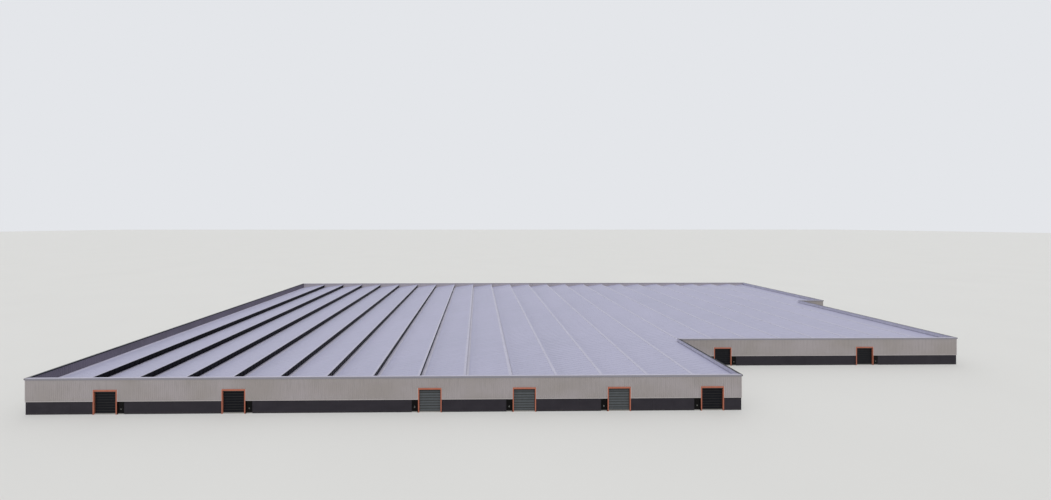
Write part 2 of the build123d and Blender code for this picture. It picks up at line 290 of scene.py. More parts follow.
def roofSheet(name, sheet):
    # coated steel roofing in long sheets: each sheet has its own tone, and the slope is painted paler near the
    # gutters, as painted light over the shade there
    material, tree, shader, place = startFinish(name, {"Roughness": 0.5})
    axes = addNode(tree, "ShaderNodeSeparateXYZ", None, {0: place})
    covers = {"operation": "DIVIDE", 1: sheet["cover"]}
    across = addNode(tree, "ShaderNodeMath", covers, {0: axes.outputs[1]})
    number = addNode(tree, "ShaderNodeMath", {"operation": "FLOOR"}, {0: across.outputs[0]})
    tone = addNode(tree, "ShaderNodeTexWhiteNoise", {"noise_dimensions": "1D"}, {"W": number.outputs[0]})
    colour = blend(tree, share(tree, tone.outputs["Value"], 0.5), sheet["colour"], sheet["tone"])
    broad = fade(tree, patches(tree, place, (900 * mm, 1500 * mm, 900 * mm)), 0.3, 0.7)
    colour = blend(tree, share(tree, broad, 0.6), colour, sheet["worn"])
    rain = fade(tree, patches(tree, place, (260 * mm, 18 * mm, 50 * mm), 4), 0.52, 0.75)
    colour = blend(tree, share(tree, rain, 0.35), colour, sheet["dirt"])
    # painted light: the slope grows paler over its lowest rise, to offset the shade beside the gutters
    low = fade(tree, axes.outputs[2], sheet["eaves"] + sheet["rise"], sheet["eaves"])
    colour = blend(tree, low, colour, sheet["eavesPaintedLight"])
    tree.links.new(colour, shader.inputs["Base Color"])
    bump(tree, shader, patches(tree, place, (8 * mm, 8 * mm, 8 * mm)), 0.2 * mm, 0.15)
    return material


foldedSheet = {"joint": 300 * mm, "line": 2 * mm, "gloss": 0.4}  # where a finish doesn't give its own


def foldedMetal(name, metal):
    # flashings folded from coated steel, with a joint every three metres
    metal = {**foldedSheet, **metal}
    material, tree, shader, place = startFinish(name, {
        "Roughness": 0.42, "Specular IOR Level": metal["gloss"]})
    axes = addNode(tree, "ShaderNodeSeparateXYZ", None, {0: place})
    colour = blend(tree, fade(tree, patches(tree, place, (400 * mm, 400 * mm, 90 * mm)), 0.35, 0.65),
                   metal["colour"], metal["worn"])
    for axis in (0, 1):
        shifted = addNode(tree, "ShaderNodeMath", {"operation": "ADD", 1: metal["joint"] / 2},
                          {0: axes.outputs[axis]})
        joints = linesEvery(tree, shifted.outputs[0], metal["joint"], metal["line"])
        colour = blend(tree, share(tree, joints, 0.7), colour, metal["dirt"])
    facing = addNode(tree, "ShaderNodeSeparateXYZ", None, {0: place.node.outputs["Normal"]})
    if "side" in metal:  # faces that don't face up are painted darker as painted shade: a shade strip down the copings' fascias, and a shadow tone on the ridge caps' legs in front of the glass
        colour = blend(tree, fade(tree, facing.outputs[2], 0.3, 0.7), metal["side"], colour)
    if "inner" in metal:  # the leg towards the roof is painted pale, paler than the roof: a painted highlight along the coping's inner edge
        colour = blend(tree, fade(tree, facing.outputs[0], -0.3, -0.7), colour, metal["inner"])
    tree.links.new(colour, shader.inputs["Base Color"])
    bump(tree, shader, patches(tree, place, (10 * mm, 10 * mm, 10 * mm)), 0.2 * mm, 0.12)
    return material


def castConcrete(name, cast):
    # concrete cast in smooth shutters or floated: cloudy, with fine pores
    material, tree, shader, place = startFinish(name, {"Roughness": cast["roughness"]})
    clouds = fade(tree, patches(tree, place, (350 * mm, 350 * mm, 200 * mm), 5), 0.3, 0.7)
    colour = blend(tree, clouds, cast["colour"], cast["worn"])
    pores = fade(tree, patches(tree, place, (3 * mm, 3 * mm, 3 * mm)), 0.6, 0.7)
    colour = blend(tree, share(tree, pores, 0.35), colour, cast["dirt"])
    tree.links.new(colour, shader.inputs["Base Color"])
    bump(tree, shader, patches(tree, place, (4 * mm, 4 * mm, 4 * mm), 5), 0.3 * mm, 0.3)
    return material


def stainedPanel(name, panel):
    # dark stained concrete wall panels: matt, with pale splash marks low down
    material, tree, shader, place = startFinish(name, {"Roughness": 0.75, "Specular IOR Level": 0.15})
    axes = addNode(tree, "ShaderNodeSeparateXYZ", None, {0: place})
    clouds = fade(tree, patches(tree, place, (240 * mm, 240 * mm, 120 * mm), 5), 0.3, 0.7)
    colour = blend(tree, clouds, panel["colour"], panel["worn"])
    streaks = fade(tree, patches(tree, place, (14 * mm, 14 * mm, 160 * mm), 4), 0.55, 0.75)
    colour = blend(tree, share(tree, streaks, 0.3), colour, panel["dirt"])
    splash = fade(tree, axes.outputs[2], 45 * mm, 2 * mm)
    grain = fade(tree, patches(tree, place, (20 * mm, 20 * mm, 12 * mm), 5), 0.4, 0.65)
    wet = addNode(tree, "ShaderNodeMath", {"operation": "MULTIPLY"}, {0: splash, 1: grain})
    colour = blend(tree, share(tree, wet.outputs[0], 0.5), colour, panel["splash"])
    tree.links.new(colour, shader.inputs["Base Color"])
    bump(tree, shader, patches(tree, place, (3 * mm, 3 * mm, 3 * mm), 5), 0.3 * mm, 0.35)
    return material


def glossPaint(name, paint):
    # brushed or sprayed enamel on steel: a thin gloss, sun-faded in patches and chipped at the foot
    material, tree, shader, place = startFinish(name, {
        "Roughness": paint["roughness"], "Specular IOR Level": paint["gloss"]})
    axes = addNode(tree, "ShaderNodeSeparateXYZ", None, {0: place})
    faded = fade(tree, patches(tree, place, (60 * mm, 60 * mm, 120 * mm), 4), 0.35, 0.7)
    colour = blend(tree, share(tree, faded, 0.6), paint["colour"], paint["worn"])
    low = fade(tree, axes.outputs[2], 60 * mm, 5 * mm)
    chips = fade(tree, patches(tree, place, (5 * mm, 5 * mm, 7 * mm), 4), 0.56, 0.6)
    rubbed = addNode(tree, "ShaderNodeMath", {"operation": "MULTIPLY"}, {0: low, 1: chips})
    colour = blend(tree, share(tree, rubbed.outputs[0], 0.7), colour, paint["dirt"])
    tree.links.new(colour, shader.inputs["Base Color"])
    bump(tree, shader, patches(tree, place, (3 * mm, 3 * mm, 5 * mm)), 0.1 * mm, 0.15)
    return material


def tintedGlass(name, pane):
    # body-tinted rooflight glass over a dark hall: nearly black, with a film of dust
    material, tree, shader, place = startFinish(name, {"Roughness": 0.2, "Specular IOR Level": 0.12})
    film = fade(tree, patches(tree, place, (160 * mm, 160 * mm, 30 * mm), 4), 0.4, 0.8)
    tree.links.new(blend(tree, film, pane["colour"], pane["dust"]), shader.inputs["Base Color"])
    return material


def brushedSteel(name, steel):
    # stainless steel, brushed and dulled by weather: fine upright lines
    material, tree, shader, place = startFinish(name, {"Metallic": 1.0, "Roughness": 0.32})
    lines = patches(tree, place, (0.6 * mm, 0.6 * mm, 20 * mm))
    tree.links.new(blend(tree, lines, steel["colour"], steel["worn"]), shader.inputs["Base Color"])
    bump(tree, shader, lines, 0.05 * mm, 0.2)
    return material


def sealRubber(name, rubber):
    # EPDM weather seal: dull black, greyed by dust
    material, tree, shader, place = startFinish(name, {"Roughness": 0.8})
    dust = patches(tree, place, (15 * mm, 15 * mm, 15 * mm), 4)
    tree.links.new(blend(tree, dust, rubber["colour"], rubber["dust"]), shader.inputs["Base Color"])
    return material


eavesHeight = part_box("valley_gutters")[1].z - 7 * mm  # a little below the foot of the slopes
finishes = {
    "wall_cladding": coatedSheet("coated steel cladding", {
        "colour": "A19A9C", "worn": "98918F", "dirt": "8A8584", "roughness": 0.5,
        "streaks": (22 * mm, 22 * mm, 320 * mm)}),
    "parapet_lining_light": coatedSheet("coated steel lining", {
        "colour": "AFA9B2", "worn": "A8A2A9", "dirt": "918C90", "roughness": 0.5,
        "streaks": (22 * mm, 22 * mm, 120 * mm)}),
    # the right side's lining is painted far paler than the others: painted light on inner faces that face away
    # from the sun
    "parapet_lining_pale": coatedSheet("coated steel lining, pale", {
        "colour": "E2E2F4", "worn": "DAD9EC", "dirt": "C2C1D0", "roughness": 0.5,
        "streaks": (22 * mm, 22 * mm, 120 * mm)}),
    "parapet_lining_dark": coatedSheet("coated steel lining, dark", {
        "colour": "6F6979", "worn": "66616F", "dirt": "7D7985", "roughness": 0.55,
        "streaks": (22 * mm, 22 * mm, 120 * mm)}),
    "roof_sheet": roofSheet("coated steel roofing", {
        "colour": "ABABC2", "tone": "A4A5BB", "worn": "B1B0C8", "dirt": "9290A0",
        # the paler colour painted near the gutters is painted light over their shade
        "eavesPaintedLight": "B7B7CF", "cover": 100 * mm, "eaves": eavesHeight, "rise": 22 * mm}),
    # the ridge caps' legs are painted near black: a painted shadow tone in front of the glass
    "ridge_metal": foldedMetal("folded steel ridge", {
        "colour": "B7B6C9", "worn": "B0AFC2", "dirt": "77767F", "side": "26262E"}),
    # the copings' fascia legs are painted grey under the pale top: a painted shade strip
    "coping": foldedMetal("folded steel coping", {
        "colour": "BBB8C9", "worn": "B0AEBF", "dirt": "6F6D78", "side": "88868F"}),
    "drip": foldedMetal("folded steel drip", {
        "colour": "B4AEAE", "worn": "ACA6A5", "dirt": "77716F"}),
    # the gutters are painted paler than the roof: painted light over the shade at the foot of the glass
    "gutter_metal": foldedMetal("folded steel gutter", {
        "colour": "C9C7D8", "worn": "C0BECE", "dirt": "919099"}),
    "dark_trim": foldedMetal("folded steel trim, dark", {
        "colour": "1E1F26", "worn": "272830", "dirt": "121216", "gloss": 0.12}),
    # its inner leg is painted pale: a painted highlight along the roof's edge
    "dark_trim_right": foldedMetal("folded steel trim, dark, with a pale inner leg", {
        "colour": "1E1F26", "worn": "272830", "dirt": "121216", "gloss": 0.12, "inner": "D4D3E6"}),
    "base_panel": stainedPanel("stained concrete panel", {
        "colour": "2C292F", "worn": "322F35", "dirt": "242227", "splash": "4A4744"}),
    "concrete": castConcrete("floated concrete", {
        "colour": "8E8D8A", "worn": "827F7B", "dirt": "5F5D59", "roughness": 0.6}),
    "precast_concrete": castConcrete("precast concrete", {
        "colour": "A3A29E", "worn": "97958F", "dirt": "77756F", "roughness": 0.75}),
    "orange_frame": glossPaint("orange enamel", {
        "colour": "AB624C", "worn": "B1725D", "dirt": "603D32", "roughness": 0.38, "gloss": 0.3}),
    "light_door_panel": glossPaint("grey-green door enamel", {
        "colour": "4D5154", "worn": "55595C", "dirt": "343637", "roughness": 0.42, "gloss": 0.2}),
    "dark_door_panel": glossPaint("blue-black door enamel", {
        "colour": "0B0C12", "worn": "101118", "dirt": "1E1D1B", "roughness": 0.42, "gloss": 0.1}),
    "door_steel": glossPaint("black enamel", {
        "colour": "060505", "worn": "0A0909", "dirt": "1E1C1A", "roughness": 0.4, "gloss": 0.1}),
    "structural_steel": glossPaint("grey primer", {
        "colour": "84868A", "worn": "7A7C80", "dirt": "5D5C5A", "roughness": 0.55, "gloss": 0.4}),
    "glazing": tintedGlass("tinted rooflight glass", {"colour": "02030A", "dust": "06070E"}),
    "glazing_bar": foldedMetal("anodised glazing bar", {
        "colour": "0B0C13", "worn": "12131A", "dirt": "050508", "gloss": 0.12, "line": 1 * mm}),
    "seal": sealRubber("rubber seal", {"colour": "0B0B0B", "dust": "1A1A19"}),
    "steel": brushedSteel("brushed stainless steel", {"colour": "7C7C79", "worn": "686865"}),
}
for part in frame["record"]["subparts"]:
    frame["nodes"][part["node"]].material_slots[0].material = finishes[part["material_slot"]]
frame["nodes"]["right_coping"].material_slots[0].material = finishes["dark_trim_right"]
print("finishes made:", len(finishes))


# Ribbed walls: each side is drawn as if seen from outside, left end at the origin, and then turned

claddingSheet = {
    "pitch": 100 * mm / 3,     # trapezoidal ribs, three to a metre
    "crest": 12 * mm,
    "flank": 4 * mm,
    "depth": 3.5 * mm,
    "thickness": 26.5 * mm,    # steel, insulation and the lining sheet behind it
    "foot": 1.2 * mm,          # stands on the drip flashing
}
wallSides = {  # each side's turn, the nodes of its lower panels, and the finish of its lining
    "front": {"turn": 0, "panels": ["front_wall_panels"], "lining": "parapet_lining_light"},
    "setback": {"turn": 0, "panels": ["setback_wall_panels"], "lining": "parapet_lining_light"},
    "extension_front": {"turn": 0, "panels": [], "lining": "parapet_lining_light"},
    # the right side's pale lining is painted light on faces turned from the sun
    "right": {"turn": 90, "panels": [], "lining": "parapet_lining_pale"},
    "rear": {"turn": 180, "panels": [], "lining": "parapet_lining_light"},
    "left": {"turn": 270, "panels": [], "lining": "parapet_lining_dark"},
}
lintels = [boxOf(points) for points in solidsOf("doorway_lintels")]
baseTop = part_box("front_base_wall")[1].z


def cornerOf(box, turn):  # the left outer corner, seen from outside
    low, high = box
    x = low.x if turn in (0, 270) else high.x
    y = low.y if turn in (0, 90) else high.y
    return Vector((x, y, 0))


def lengthOf(box, turn):
    size = box[1] - box[0]
    return size.x if turn in (0, 180) else size.y


def doorwaysIn(box):  # spans of the orange frames in a wall, from its left end
    low, high = box
    return [(frameLow.x - low.x, frameHigh.x - low.x) for frameLow, frameHigh in lintels
            if frameLow.y < low.y < frameHigh.y and low.x < frameLow.x < high.x]


def makeRibs(name, length, low, high, sheet):
    pan = sheet["pitch"] - sheet["crest"] - 2 * sheet["flank"]
    rib = addUpright(name, (pan / 2, sheet["depth"], (low + high) / 2), pan, high - low)
    startEdit(rib)
    pickEdges(rib, lambda middle: middle.x > 0.99 * pan)
    extrudeBy(sheet["flank"], -sheet["depth"], 0)
    extrudeBy(sheet["crest"], 0, 0)
    extrudeBy(sheet["flank"], sheet["depth"], 0)
    endEdit()
    repeatPiece(rib, math.ceil(length / sheet["pitch"]), (sheet["pitch"], 0, 0), merge=True)
    startEdit(rib)
    cutAt((length, 0, 0), (1, 0, 0), clear=True)
    endEdit()
    return rib


def cutDoorways(wall, spans, head):
    startEdit(wall)
    for span in spans:
        for edge in span:
            cutAt((edge, 0, 0), (1, 0, 0))
    cutAt((0, 0, head), (0, 0, 1))
    pickFaces(wall, lambda middle, normal: middle.z < head and any(
        start < middle.x < end for start, end in spans))
    bpy.ops.mesh.delete(type="FACE")
    endEdit()


def giveDepth(wall, thickness):
    startEdit(wall)
    bpy.ops.mesh.select_all(action="SELECT")
    extrudeBy(0, thickness, 0)
    endEdit()
    closeShape(wall)


def makeWall(side, number, box, head):
    turn = wallSides[side]["turn"]
    sheet = claddingSheet
    foot = baseTop + sheet["foot"]
    wall = makeRibs(f"{side}_cladding_{number}", lengthOf(box, turn), foot, box[1].z, sheet)
    spans = doorwaysIn(box) if turn == 0 else []
    if spans:
        cutDoorways(wall, spans, head)
    giveDepth(wall, sheet["thickness"])
    wall.data.materials.append(finishes["wall_cladding"])
    wall.data.materials.append(finishes[wallSides[side]["lining"]])
    for face in wall.data.polygons:
        face.material_index = 1 if face.normal.y > 0.3 else 0
    placePiece(wall, cornerOf(box, turn), turn)
    return wall


wallBoxes = {side: [boxOf(points) for points in solidsOf(f"{side}_wall")] for side in wallSides}
for side, boxes in wallBoxes.items():
    walls = [makeWall(side, number, box, lintels[0][1].z) for number, box in enumerate(boxes, 1)]
    wall = joinPieces(f"{side}_cladding", walls)
    finishPiece(wall, "wall_cladding", standsFor=[f"{side}_wall"] + wallSides[side]["panels"])
print("ribbed walls made:", len(wallBoxes))


# Drip flashing along the foot of the cladding, and folded corners

flashing = {
    "lip": 13 * mm,          # the pale line over the dark base
    "lift": 0.2 * mm,        # above the base
    "proud": 1.0 * mm,       # in front of the ribs
    "depth": 30 * mm,        # under the cladding
    "metal": 0.8 * mm,
    "corner": 16 * mm,       # leg of a corner piece
    "cornerDrop": 20 * mm,   # a corner piece ends this far below the top
    "cornerBevel": 0.2 * mm,
}


def makeDrip(start, end):
    height = flashing["lip"]
    middle = ((start + end) / 2, -flashing["proud"], baseTop + height / 2 + flashing["lift"])
    drip = addUpright("drip", middle, end - start, height)
    startEdit(drip)
    pickEdges(drip, lambda place: place.z < baseTop + 0.1 * height)
    extrudeBy(0, flashing["depth"] + flashing["proud"], 0)
    endEdit()
    useModifier(drip, "SOLIDIFY", {"thickness": flashing["metal"], "offset": -1})
    closeShape(drip)
    return drip


def gapsBetween(length, spans):
    edges = [0] + [edge for span in sorted(spans) for edge in span] + [length]
    return [(edges[n], edges[n + 1]) for n in range(0, len(edges), 2)]


drips = []
for side, boxes in wallBoxes.items():
    turn = wallSides[side]["turn"]
    for box in boxes:
        spans = doorwaysIn(box) if turn == 0 else []
        for start, end in gapsBetween(lengthOf(box, turn), spans):
            drip = makeDrip(start, end)
            placePiece(drip, cornerOf(box, turn), turn)
            drips.append(drip)
finishPiece(joinPieces("drip_flashings", drips), "wall_cladding", "drip")


def makeCorner(place, turn):  # an upright angle round an outer corner, turned from the front left one
    leg = flashing["corner"]
    low = baseTop + flashing["lip"]
    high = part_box("front_wall")[1].z - flashing["cornerDrop"]
    corner = addUpright("corner", (leg / 2 - flashing["proud"], -flashing["proud"], (low + high) / 2),
                        leg, high - low)
    startEdit(corner)
    pickEdges(corner, lambda middle: middle.x < 0)
    extrudeBy(0, leg, 0)
    endEdit()
    useModifier(corner, "SOLIDIFY", {"thickness": flashing["metal"], "offset": -1})
    closeShape(corner)
    bevelPiece(corner, flashing["cornerBevel"])
    placePiece(corner, place, turn)
    return corner


corners = []
for side, turn in (("front", 0), ("rear", 180)):
    corners.append(makeCorner(cornerOf(wallBoxes[side][0], turn), turn))
for side in ("front", "setback", "extension_front"):
    low, high = wallBoxes[side][0]
    corners.append(makeCorner((high.x, low.y, 0), 90))
low, high = wallBoxes["rear"][0]
corners.append(makeCorner((low.x, high.y, 0), 270))
finishPiece(joinPieces("corner_flashings", corners), "wall_cladding", "drip")
print("flashings made:", len(drips) + len(corners))


# Dark base wall, in panels with chamfered joints

basePanel = {"width": 400 * mm, "joint": 1.4 * mm, "relief": 1.6 * mm}


def makeBase(box, turn):
    length = lengthOf(box, turn)
    count = max(1, round(length / basePanel["width"]))
    width = length / count
    height = box[1].z - box[0].z
    depth = (box[1] - box[0]).y if turn in (0, 180) else (box[1] - box[0]).x
    panel = addUpright("base", (width / 2, basePanel["relief"], height / 2), width, height)
    startEdit(panel)
    bpy.ops.mesh.select_all(action="SELECT")
    bpy.ops.mesh.inset(thickness=basePanel["joint"], depth=basePanel["relief"], use_boundary=True)
    endEdit()
    repeatPiece(panel, count, (width, 0, 0), merge=True)
    giveDepth(panel, depth - basePanel["relief"])
    placePiece(panel, cornerOf(box, turn), turn)
    return panel


for side in wallSides:
    turn = wallSides[side]["turn"]
    bases = [makeBase(boxOf(points), turn) for points in solidsOf(f"{side}_base_wall")]
    finishPiece(joinPieces(f"{side}_base_panels", bases), "base_panel", standsFor=[f"{side}_base_wall"])
print("base walls made")


# Roof: standing seams, apron flashings, straps over the ridge joints and bars on the north lights

roofDetail = {
    "seamPitch": 100 * mm,
    "seamWidth": 2.4 * mm,
    "seamHeight": 2.6 * mm,
    "seamSeat": 1 * mm,       # sunk into the sheet
    "seamBevel": 0.6 * mm,
    "seamMargin": 20 * mm,    # clear of the parapets
    "capBehind": 19.5 * mm,   # from the face of the glass to a cap's rear edge, less the cap's metal
    "strapPitch": 300 * mm,
    "strapWidth": 12 * mm,
    "strapMetal": 0.6 * mm,
    "strapLift": 0.5 * mm,    # over the cap
    "strapLeg": 10 * mm,
    "strapMargin": 40 * mm,
    "barPitch": 100 * mm,
    "barWidth": 4 * mm,
    "barDepth": 5 * mm,
    "barBevel": 0.8 * mm,
    "barMargin": 10 * mm,
    "railHeight": 6 * mm,
    "upstand": 14 * mm,
    "apron": 12 * mm,
    "apronMetal": 1.2 * mm,
    "apronBevel": 0.3 * mm,
}
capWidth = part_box("ridge_caps")[1].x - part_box("north_light_glazing")[1].x + roofDetail["capBehind"]


def slopeLine(points):  # x and z where a slope's top starts, and its angle
    low, high = boxOf(points)
    foot = max(point.z for point in points if abs(point.x - low.x) < mm)
    ridge = max(point.z for point in points if abs(point.x - high.x) < mm)
    return low.x, foot, math.atan2(ridge - foot, high.x - low.x)


def slopeRuns(points):  # right end of a slope and its range along Y, in one or two steps
    low, high = boxOf(points)
    steps = [point for point in points if low.x + mm < point.x < high.x - mm]
    if not steps:
        return [(high.x, low.y, high.y)]
    wallEnd = max(step.y for step in steps)
    return [(steps[0].x, low.y, wallEnd), (high.x, wallEnd, high.y)]


def layOnSlope(piece, angle, place):
    makeActive(piece)
    piece.rotation_euler = (0, -angle, 0)
    piece.location = place
    applyPlace()


def makeSeams(points):
    footX, footZ, angle = slopeLine(points)
    half = roofDetail["seamWidth"] / 2
    pitch = roofDetail["seamPitch"]
    margin = roofDetail["seamMargin"]
    made = []
    for end, start, stop in slopeRuns(points):
        atRidge = footZ + (end - footX) * math.tan(angle) > ridgeHeight - mm
        short = capWidth if atRidge else roofDetail["apron"]
        first = math.ceil((start + margin) / pitch) * pitch
        count = int((stop - margin - first) / pitch) + 1
        length = (end - short - footX) / math.cos(angle)
        low = (0, -half, -roofDetail["seamSeat"])
        seam = addBlock("seam", low, (length, half, roofDetail["seamHeight"]))
        bevelPiece(seam, roofDetail["seamBevel"])
        layOnSlope(seam, angle, (footX, first, footZ))
        repeatPiece(seam, count, (0, pitch, 0))
        made.append(seam)
    return joinPieces("seams", made)


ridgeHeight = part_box("roof_slopes")[1].z
slopes = solidsOf("roof_slopes")
seams = [makeSeams(points) for points in slopes]
finishPiece(joinPieces("standing_seams", seams), "roof_sheet")
print("seams made:", len(seams))


def makeApron(points):  # upstand flashings where a slope meets the walls in front, behind and beside it
    footX, footZ, angle = slopeLine(points)
    runs = slopeRuns(points)
    edges = [(footX, runs[0][0], runs[0][1], 1), (footX, runs[-1][0], runs[-1][2], -1)]
    if len(runs) == 2:
        edges.append((runs[0][0], runs[1][0], runs[1][1], 1))
    metal = roofDetail["apronMetal"]
    made = []
    for start, end, y, way in edges:
        length = (end - start) / math.cos(angle)
        place = (start, y, footZ + (start - footX) * math.tan(angle))
        for depth, height in ((metal, roofDetail["upstand"]), (roofDetail["apron"], metal)):
            low, high = sorted((0, way * depth))
            strip = addBlock("apron", (0, low, 0), (length, high, height))
            layOnSlope(strip, angle, place)
            made.append(strip)
    for end, start, stop in runs:
        z = footZ + (end - footX) * math.tan(angle)
        if z < ridgeHeight - mm:
            top = z + roofDetail["upstand"]
            made.append(addBlock("apron", (end - metal, start, z - mm), (end, stop, top)))
            strip = addBlock("apron", (-roofDetail["apron"], start, 0), (0, stop, metal))
            layOnSlope(strip, angle, (end, 0, z))
            made.append(strip)
    return joinPieces("apron", made)


aprons = joinPieces("apron_flashings", [makeApron(points) for points in slopes])
bevelPiece(aprons, roofDetail["apronBevel"])
finishPiece(aprons, "roof_sheet")
print("apron flashings made")


def makeStraps(points, capBox):
    angle = slopeLine(points)[2]
    low, high = capBox
    pitch = roofDetail["strapPitch"]
    margin = roofDetail["strapMargin"]
    lift = roofDetail["strapLift"]
    first = math.ceil((low.y + margin) / pitch) * pitch
    count = int((high.y - margin - first) / pitch) + 1
    deselectAll()
    bpy.ops.mesh.primitive_plane_add(size=1, location=(-capWidth / 2, 0, 0))
    strap = bpy.context.object
    strap.scale = (capWidth, roofDetail["strapWidth"], 1)
    applyPlace()
    layOnSlope(strap, angle, (high.x + lift, 0, high.z + lift))
    startEdit(strap)
    pickEdges(strap, lambda middle: middle.x > high.x - mm)
    extrudeBy(0, 0, -roofDetail["strapLeg"])
    endEdit()
    useModifier(strap, "SOLIDIFY", {"thickness": roofDetail["strapMetal"], "offset": 0})
    closeShape(strap)
    strap.location = (0, first, 0)
    makeActive(strap)
    applyPlace()
    repeatPiece(strap, count, (0, pitch, 0))
    return strap


caps = [boxOf(points) for points in solidsOf("ridge_caps")]
straps = [makeStraps(points, cap) for points, cap in zip(slopes, caps)]
finishPiece(joinPieces("ridge_straps", straps), "ridge_metal")
print("ridge straps made:", len(straps))


def makeBars(paneBox):
    low, high = paneBox
    face = high.x
    front = face + roofDetail["barDepth"]
    pitch = roofDetail["barPitch"]
    margin = roofDetail["barMargin"]
    half = roofDetail["barWidth"] / 2
    first = math.ceil((low.y + margin) / pitch) * pitch
    count = int((high.y - margin - first) / pitch) + 1
    bar = addBlock("bar", (face, first - half, low.z), (front, first + half, high.z))
    bevelPiece(bar, roofDetail["barBevel"])
    repeatPiece(bar, count, (0, pitch, 0))
    rails = []
    for bottom in (low.z, high.z - roofDetail["railHeight"]):
        top = bottom + roofDetail["railHeight"]
        rail = addBlock("rail", (face, low.y, bottom), (front + mm, high.y, top))
        bevelPiece(rail, roofDetail["barBevel"])
        rails.append(rail)
    return joinPieces("bars", [bar] + rails)


panes = [boxOf(points) for points in solidsOf("north_light_glazing")]
bars = [makeBars(pane) for pane in panes]
finishPiece(joinPieces("glazing_bars", bars), "glazing", "glazing_bar")
print("glazing bars made:", len(bars))


# Vehicle doorways: enamelled surrounds, rubber seals and sectional doors

surround = {
    "face": 18 * mm,       # orange face beside the opening
    "head": 24 * mm,       # and over it, with a dark head box under it
    "step": 4 * mm,        # the flashings round it lie this much further back
    "bevel": 1.2 * mm,
    "margin": 3 * mm,      # from the edge to the groove
    "groove": 0.6 * mm,    # its width and depth
    "flashingBevel": 0.6 * mm,
    "doorReach": 20 * mm,  # a post this near to a personnel door has a black flashing at its foot
}


def makeFace(low, high):  # an orange member with a fine groove round its face
    part = addBlock("surround", low, high)
    startEdit(part)
    pickFaces(part, lambda middle, normal: normal.y < -0.9)
    bpy.ops.mesh.inset(thickness=surround["margin"], depth=0)
    bpy.ops.mesh.inset(thickness=surround["groove"], depth=-surround["groove"])
    endEdit()
    bevelPiece(part, surround["bevel"])
    return part


def makeFlashing(low, high, finish):
    strip = addBlock("flashing", low, high)
    bevelPiece(strip, surround["flashingBevel"])
    strip.data.materials.append(finishes[finish])
    return strip


def isBesideDoor(x, y):  # for the outer edge and the front of a post
    reach = surround["doorReach"]
    return any(abs(low.y - y) < 2 * reach and low.x < x + reach and high.x > x - reach
               for low, high in smallDoors)


posts = [boxOf(points) for points in solidsOf("doorway_posts")]
smallDoors = [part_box(joint["child"]) for joint in frame["joints"]]
faces = []
headBoxes = []
flashings = []
for lintelLow, lintelHigh in lintels:
    middle = (lintelLow.x + lintelHigh.x) / 2
    inner = []
    for low, high in posts:
        if low.y != lintelLow.y or low.x < lintelLow.x - mm or high.x > lintelHigh.x + mm:
            continue
        way = 1 if high.x < middle else -1  # towards the opening
        inside, outside = (high.x, low.x) if way == 1 else (low.x, high.x)
        step = inside - way * surround["face"]
        inner.append(step)
        left, right = sorted((inside, step))
        faces.append(makeFace((left, low.y, low.z), (right, high.y, high.z)))
        left, right = sorted((step, outside))
        near = low.y + surround["step"]
        footFinish = "door_steel" if isBesideDoor(outside, low.y) else "base_panel"
        flashings.append(makeFlashing((left, near, low.z), (right, high.y, baseTop), footFinish))
        flashings.append(makeFlashing((left, near, baseTop), (right, high.y, lintelHigh.z), "drip"))
    left, right = sorted(inner)
    split = lintelHigh.z - surround["head"]
    faces.append(makeFace((left, lintelLow.y, split), (right, lintelHigh.y, lintelHigh.z)))
    for edge, end in ((left, left + surround["face"]), (right - surround["face"], right)):
        faces.append(makeFace((edge, lintelLow.y, lintelLow.z), (end, lintelHigh.y, split)))
    # each lintel's dark head box is a head seal, and its black is also painted shade: it stands in for the shade
    # under the lintel
    headBoxes.append(makeFlashing((left + surround["face"], lintelLow.y + surround["step"], lintelLow.z),
                                  (right - surround["face"], lintelHigh.y, split), "seal"))
finishPiece(joinPieces("doorway_surrounds", faces), "orange_frame",
            standsFor=["doorway_posts", "doorway_lintels"])
finishPiece(joinPieces("doorway_head_boxes", headBoxes), "dark_trim")
finishPiece(joinPieces("doorway_flashings", flashings), "wall_cladding")

sectional = {
    "panels": 8,
    "bands": 2,            # each panel is pressed with a rib along its middle
    "joint": 5 * mm,
    "relief": 2.0 * mm,
    "bandJoint": 0.7 * mm,
    "bandRelief": 0.6 * mm,
    "seal": 5 * mm,
    "sealProud": 3 * mm,
    "sealLap": 1 * mm,
    "sealBevel": 0.8 * mm,
}


def makeSectionalDoor(box, slot):
    low, high = box
    count = sectional["panels"]
    height = (high.z - low.z) / count
    width = high.x - low.x
    middle = ((low.x + high.x) / 2, low.y + sectional["relief"], low.z + height / 2)
    door = addUpright("door", middle, width, height)
    startEdit(door)
    bpy.ops.mesh.select_all(action="SELECT")
    bpy.ops.mesh.inset(thickness=sectional["joint"], depth=sectional["relief"] - sectional["bandRelief"])
    pickFaces(door, lambda place, normal: normal.y < -0.99)
    inner = height - 2 * sectional["joint"]
    for cut in range(1, sectional["bands"]):
        z = low.z + sectional["joint"] + inner * cut / sectional["bands"]
        bpy.ops.mesh.bisect(plane_co=(0, 0, z), plane_no=(0, 0, 1))
        pickFaces(door, lambda place, normal: normal.y < -0.99)
    bpy.ops.mesh.inset(thickness=sectional["bandJoint"], depth=sectional["bandRelief"], use_individual=True)
    endEdit()
    repeatPiece(door, count, (0, 0, height), merge=True)
    giveDepth(door, high.y - low.y - sectional["relief"])
    door.data.materials.append(finishes[slot])
    door.data.materials.append(finishes["seal"])
    for face in door.data.polygons:
        fromJoint = (face.center.z - low.z + height / 2) % height - height / 2
        if abs(fromJoint) < sectional["joint"] * 0.6 and face.normal.y < -0.5:
            face.material_index = 1
    return door


doorSlots = {"overhead_doors_light": "light_door_panel", "overhead_doors_dark": "dark_door_panel"}
for node, slot in doorSlots.items():
    doors = [makeSectionalDoor(boxOf(points), slot) for points in solidsOf(node)]
    finishPiece(joinPieces(f"sectional_{node}", doors), slot, standsFor=[node])

